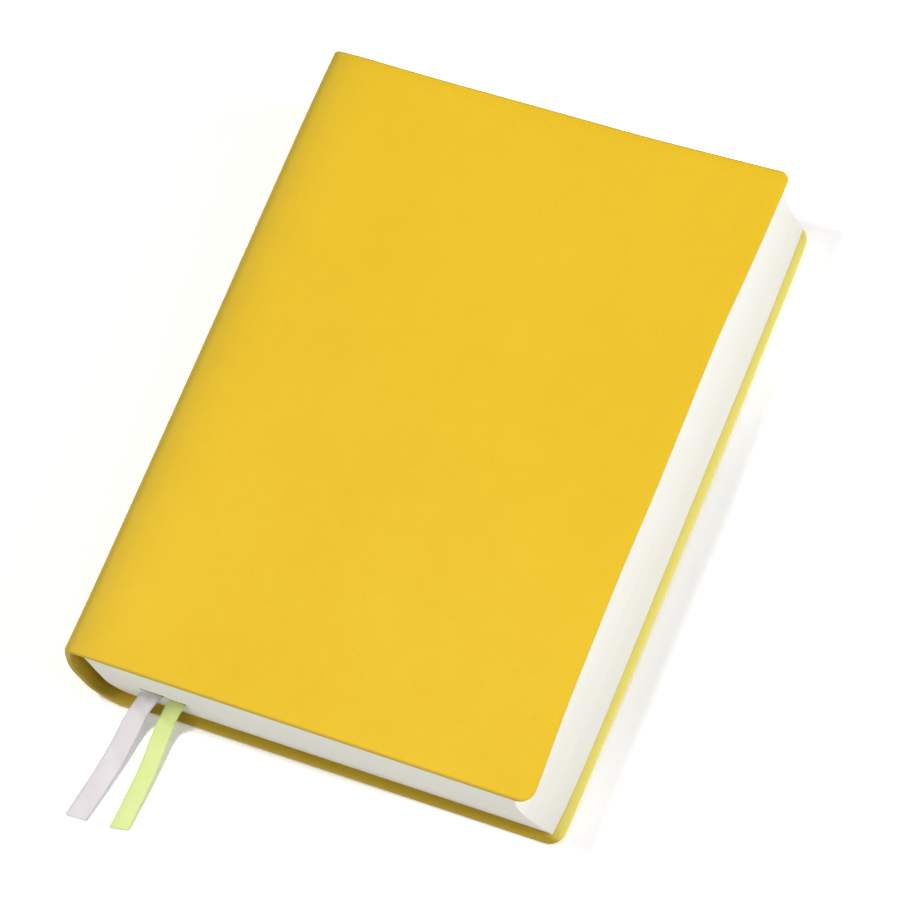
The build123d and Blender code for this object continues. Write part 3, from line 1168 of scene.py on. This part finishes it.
def dress(piece, material):
    if not piece.material_slots:
        piece.data.materials.append(material)
    for slot in piece.material_slots:
        slot.material = material


for material, pieces, nodes in wardrobe:
    for piece in (*pieces, *[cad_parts[node] for node in nodes]):
        dress(piece, material)
print("leather, paper, card and satin are on their pieces")

# Floor, soft lamps and a white surround
studio = {
    "floorSize": 6.0,
    "floorColour": (0.98, 0.98, 0.99),
    "floorLift": 0.22,
    "foreEdgePaintedShadow": {"middle": -0.018, "along": (0.030, 0.100), "lift": (-0.04, 0.18), "from": (0.0, 0.06)},
    "spinePaintedLight": {"from": (-0.10, -0.08), "more": 0.05},
    "surround": 0.16,
    "aim": (0, 0, 0.02),
    "lamps": [
        {"name": "overheadLamp", "place": (-0.50, -0.06, 1.60), "size": 0.26, "power": 14.85},
        {"name": "foreEdgeLamp", "place": (1.16, 0.12, 0.60), "size": 0.8, "power": 9.1},
        {"name": "tailLamp", "place": (-0.60, -1.30, 0.26), "size": 0.8, "power": 4.3,
         "colour": (1, 0.985, 0.91)},
    ],
}


# Is 1 for what the camera sees, straight or in a gloss or through glass, and 0 for other light
def seenRays(tree):
    path = addNode(tree, "LightPath")
    bounced = calculate(tree, "ADD", path.outputs["Is Glossy Ray"], path.outputs["Is Transmission Ray"])
    return calculate(tree, "ADD", path.outputs["Is Camera Ray"], bounced, clamp=True)


# A matte floor with a lift of its own light, by which its shadows come out as soft as in the photograph
def addFloor():
    bpy.ops.mesh.primitive_plane_add(size=studio["floorSize"], location=(0, 0, 0))
    floor = bpy.context.object
    floor.name = "studioFloor"
    material = bpy.data.materials.new("studioFloor")
    material.use_nodes = True
    tree = material.node_tree
    tree.nodes.clear()
    # The floor's glow is painted lower beside the middle of the fore edge and higher towards both ends, so
    # the shadow there is painted deepest near the middle and fading to both ends; behind the spine more glow
    # is painted over the floor's shade
    fore, spine, plain = studio["foreEdgePaintedShadow"], studio["spinePaintedLight"], studio["floorLift"]
    place = addNode(tree, "SeparateXYZ", {0: objectSpace(tree)})
    apart = calculate(tree, "ABSOLUTE", calculate(tree, "SUBTRACT", place.outputs["Y"], fore["middle"]))
    along = ranged(tree, apart, fore["along"], fore["lift"], "SMOOTHSTEP")
    beside = ranged(tree, place.outputs["X"], fore["from"], kind="SMOOTHSTEP")
    behind = ranged(tree, place.outputs["X"], spine["from"], (plain + spine["more"], plain), "SMOOTHSTEP")
    strength = calculate(tree, "ADD", calculate(tree, "MULTIPLY", along, beside), behind)
    matte = addNode(tree, "BsdfDiffuse", {"Color": (*studio["floorColour"], 1)})
    glow = addNode(tree, "Emission", {"Strength": calculate(tree, "MULTIPLY", seenRays(tree), strength)})
    both = addNode(tree, "AddShader", {0: matte.outputs[0], 1: glow.outputs[0]})
    addNode(tree, "OutputMaterial", {"Surface": both.outputs[0]})
    floor.data.materials.append(material)


def addLamp(lamp):
    data = bpy.data.lights.new(lamp["name"], "AREA")
    data.shape = "DISK"
    data.size = lamp["size"]
    data.energy = lamp["power"]
    data.color = lamp.get("colour", (1, 1, 1))
    holder = bpy.data.objects.new(lamp["name"], data)
    holder.location = lamp["place"]
    heading = Vector(studio["aim"]) - Vector(lamp["place"])
    holder.rotation_euler = heading.to_track_quat("-Z", "Y").to_euler()
    scene.collection.objects.link(holder)


def addSurround():
    world = bpy.data.worlds.new("studioSurround")
    world.use_nodes = True
    scene.world = world
    tree = world.node_tree
    tree.nodes.clear()
    dim, white = [addNode(tree, "Background", {"Color": (1, 1, 1, 1), "Strength": strength}).outputs[0]
                  for strength in (studio["surround"], 1.0)]
    blend = addNode(tree, "MixShader", {0: seenRays(tree), 1: dim, 2: white})
    addNode(tree, "OutputWorld", {"Surface": blend.outputs[0]})


addFloor()
for lamp in studio["lamps"]:
    addLamp(lamp)
addSurround()
print("floor, lamps and white surround are set")
